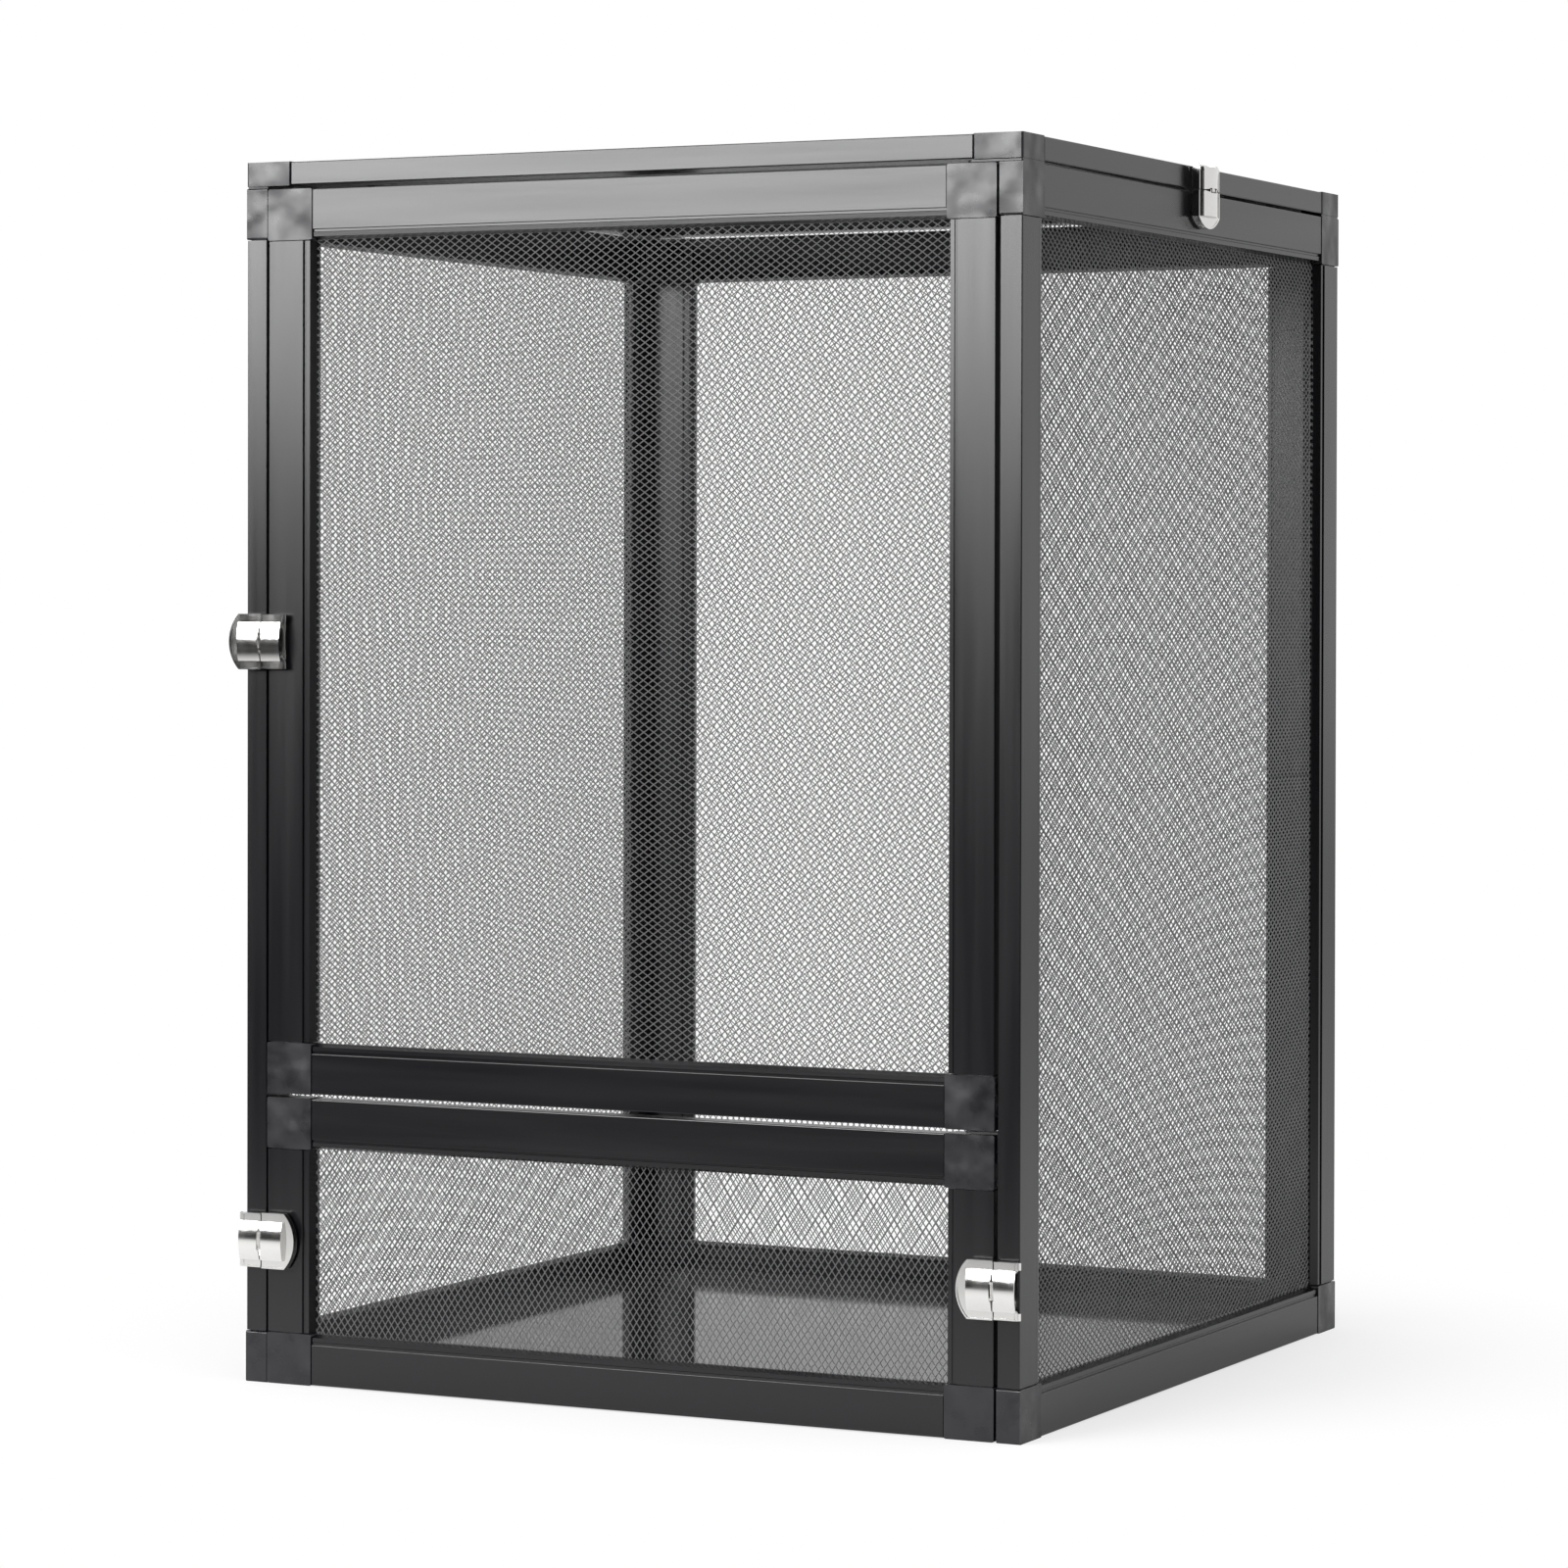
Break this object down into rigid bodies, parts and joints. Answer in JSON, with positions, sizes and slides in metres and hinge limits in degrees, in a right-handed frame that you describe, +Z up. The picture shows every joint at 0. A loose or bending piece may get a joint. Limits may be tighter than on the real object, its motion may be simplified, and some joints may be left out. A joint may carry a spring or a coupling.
{
  "type": "reptile terrarium",
  "caption": "Tall framed screen cage for reptiles with a hinged upper door, a lift-out lower door, a lift-off mesh lid and sheet-metal latches that turn out.",
  "frame": {"origin": "on the ground, under the middle of the whole object's box", "axes": "+X to the right as seen from the front, +Y to the back, +Z up; the two doors face -Y"},
  "size_m": [0.445, 0.4376, 0.6212],
  "materials": {
    "frame_metal": "satin black powder coat on aluminium extrusion",
    "mesh": "black coated expanded aluminium",
    "corner_plastic": "moulded dark grey plastic, slightly mottled",
    "floor_board": "smooth grey board",
    "hinge_steel": "black coated steel",
    "latch_steel": "nickel plated pressed steel",
    "screws": "plated steel"
  },
  "bodies": {
    "cage_body": {"left_front_stile": "frame_metal", "left_rear_stile": "frame_metal", "left_top_rail": "frame_metal", "left_bottom_rail": "frame_metal", "left_corner_blocks": "corner_plastic", "left_mesh": "mesh", "right_front_stile": "frame_metal", "right_rear_stile": "frame_metal", "right_top_rail": "frame_metal", "right_bottom_rail": "frame_metal", "right_corner_blocks": "corner_plastic", "right_mesh": "mesh", "back_stiles": "frame_metal", "back_rails": "frame_metal", "back_corner_blocks": "corner_plastic", "back_mesh": "mesh", "floor_rails": "frame_metal", "floor_corner_blocks": "corner_plastic", "floor_board": "floor_board", "panel_dowels": "corner_plastic", "hinge_plates": "hinge_steel", "hinge_pins": "hinge_steel", "cage_latch_plates": "latch_steel", "cage_screws": "screws"},
    "upper_door": {"upper_door_latch_stile": "frame_metal", "upper_door_hinge_stile": "frame_metal", "upper_door_top_rail": "frame_metal", "upper_door_bottom_rail": "frame_metal", "upper_door_corner_blocks": "corner_plastic", "upper_door_mesh": "mesh", "upper_door_latch_plate": "latch_steel", "upper_door_screws": "screws", "upper_latch_pin": "latch_steel"},
    "upper_claw": {"upper_latch_claw": "latch_steel"},
    "upper_lever": {"upper_latch_lever": "latch_steel"},
    "lower_door": {"lower_door_left_stile": "frame_metal", "lower_door_right_stile": "frame_metal", "lower_door_top_rail": "frame_metal", "lower_door_bottom_rail": "frame_metal", "lower_door_corner_blocks": "corner_plastic", "lower_door_mesh": "mesh", "lower_door_latch_bases": "latch_steel", "lower_door_screws": "screws", "lower_latch_pins": "latch_steel"},
    "lower_left_claw": {"lower_left_latch_claw": "latch_steel"},
    "lower_left_lever": {"lower_left_latch_lever": "latch_steel"},
    "lower_right_claw": {"lower_right_latch_claw": "latch_steel"},
    "lower_right_lever": {"lower_right_latch_lever": "latch_steel"},
    "lid": {"lid_cross_rails": "frame_metal", "lid_side_rails": "frame_metal", "lid_corner_blocks": "corner_plastic", "lid_mesh": "mesh", "lid_latch_plates": "latch_steel", "lid_screws": "screws", "lid_latch_pins": "latch_steel"},
    "lid_left_claw": {"lid_left_latch_claw": "latch_steel"},
    "lid_left_lever": {"lid_left_latch_lever": "latch_steel"},
    "lid_right_claw": {"lid_right_latch_claw": "latch_steel"},
    "lid_right_lever": {"lid_right_latch_lever": "latch_steel"}
  },
  "joints": [
    {"name": "upper_door_swing", "type": "hinge", "parent": "cage_body", "child": "upper_door", "pos_m": [0.1891, -0.20695, 0.37685], "axis": [0, 0, 1], "range_deg": [0, 110]},
    {"name": "lower_door_pull", "type": "slide", "parent": "cage_body", "child": "lower_door", "axis": [0, -1, 0], "range_m": [0, 0.15]},
    {"name": "lid_lift", "type": "slide", "parent": "cage_body", "child": "lid", "axis": [0, 0, 1], "range_m": [0, 0.1]},
    {"name": "upper_claw_turn", "type": "hinge", "parent": "upper_door", "child": "upper_claw", "pos_m": [-0.1907, -0.21415, 0.37685], "axis": [0, 0, 1], "range_deg": [0, 80]},
    {"name": "upper_lever_turn", "type": "hinge", "parent": "upper_claw", "child": "upper_lever", "pos_m": [-0.2031, -0.21755, 0.37685], "axis": [0, 0, 1], "range_deg": [0, 60]},
    {"name": "lower_left_claw_turn", "type": "hinge", "parent": "lower_door", "child": "lower_left_claw", "pos_m": [-0.2031, -0.21755, 0.07295], "axis": [0, 0, 1], "range_deg": [0, 30]},
    {"name": "lower_left_lever_turn", "type": "hinge", "parent": "lower_door", "child": "lower_left_lever", "pos_m": [-0.2031, -0.21755, 0.07295], "axis": [0, 0, -1], "range_deg": [0, 60]},
    {"name": "lower_right_claw_turn", "type": "hinge", "parent": "lower_door", "child": "lower_right_claw", "pos_m": [0.2031, -0.21755, 0.07295], "axis": [0, 0, -1], "range_deg": [0, 30]},
    {"name": "lower_right_lever_turn", "type": "hinge", "parent": "lower_door", "child": "lower_right_lever", "pos_m": [0.2031, -0.21755, 0.07295], "axis": [0, 0, 1], "range_deg": [0, 60]},
    {"name": "lid_left_claw_turn", "type": "hinge", "parent": "lid", "child": "lid_left_claw", "pos_m": [-0.2179, 0.01475, 0.62], "axis": [0, 1, 0], "range_deg": [0, 80]},
    {"name": "lid_left_lever_turn", "type": "hinge", "parent": "lid_left_claw", "child": "lid_left_lever", "pos_m": [-0.2213, 0.01475, 0.6076], "axis": [0, 1, 0], "range_deg": [0, 60]},
    {"name": "lid_right_claw_turn", "type": "hinge", "parent": "lid", "child": "lid_right_claw", "pos_m": [0.2179, 0.01475, 0.62], "axis": [0, -1, 0], "range_deg": [0, 80]},
    {"name": "lid_right_lever_turn", "type": "hinge", "parent": "lid_right_claw", "child": "lid_right_lever", "pos_m": [0.2213, 0.01475, 0.6076], "axis": [0, -1, 0], "range_deg": [0, 60]}
  ]
}
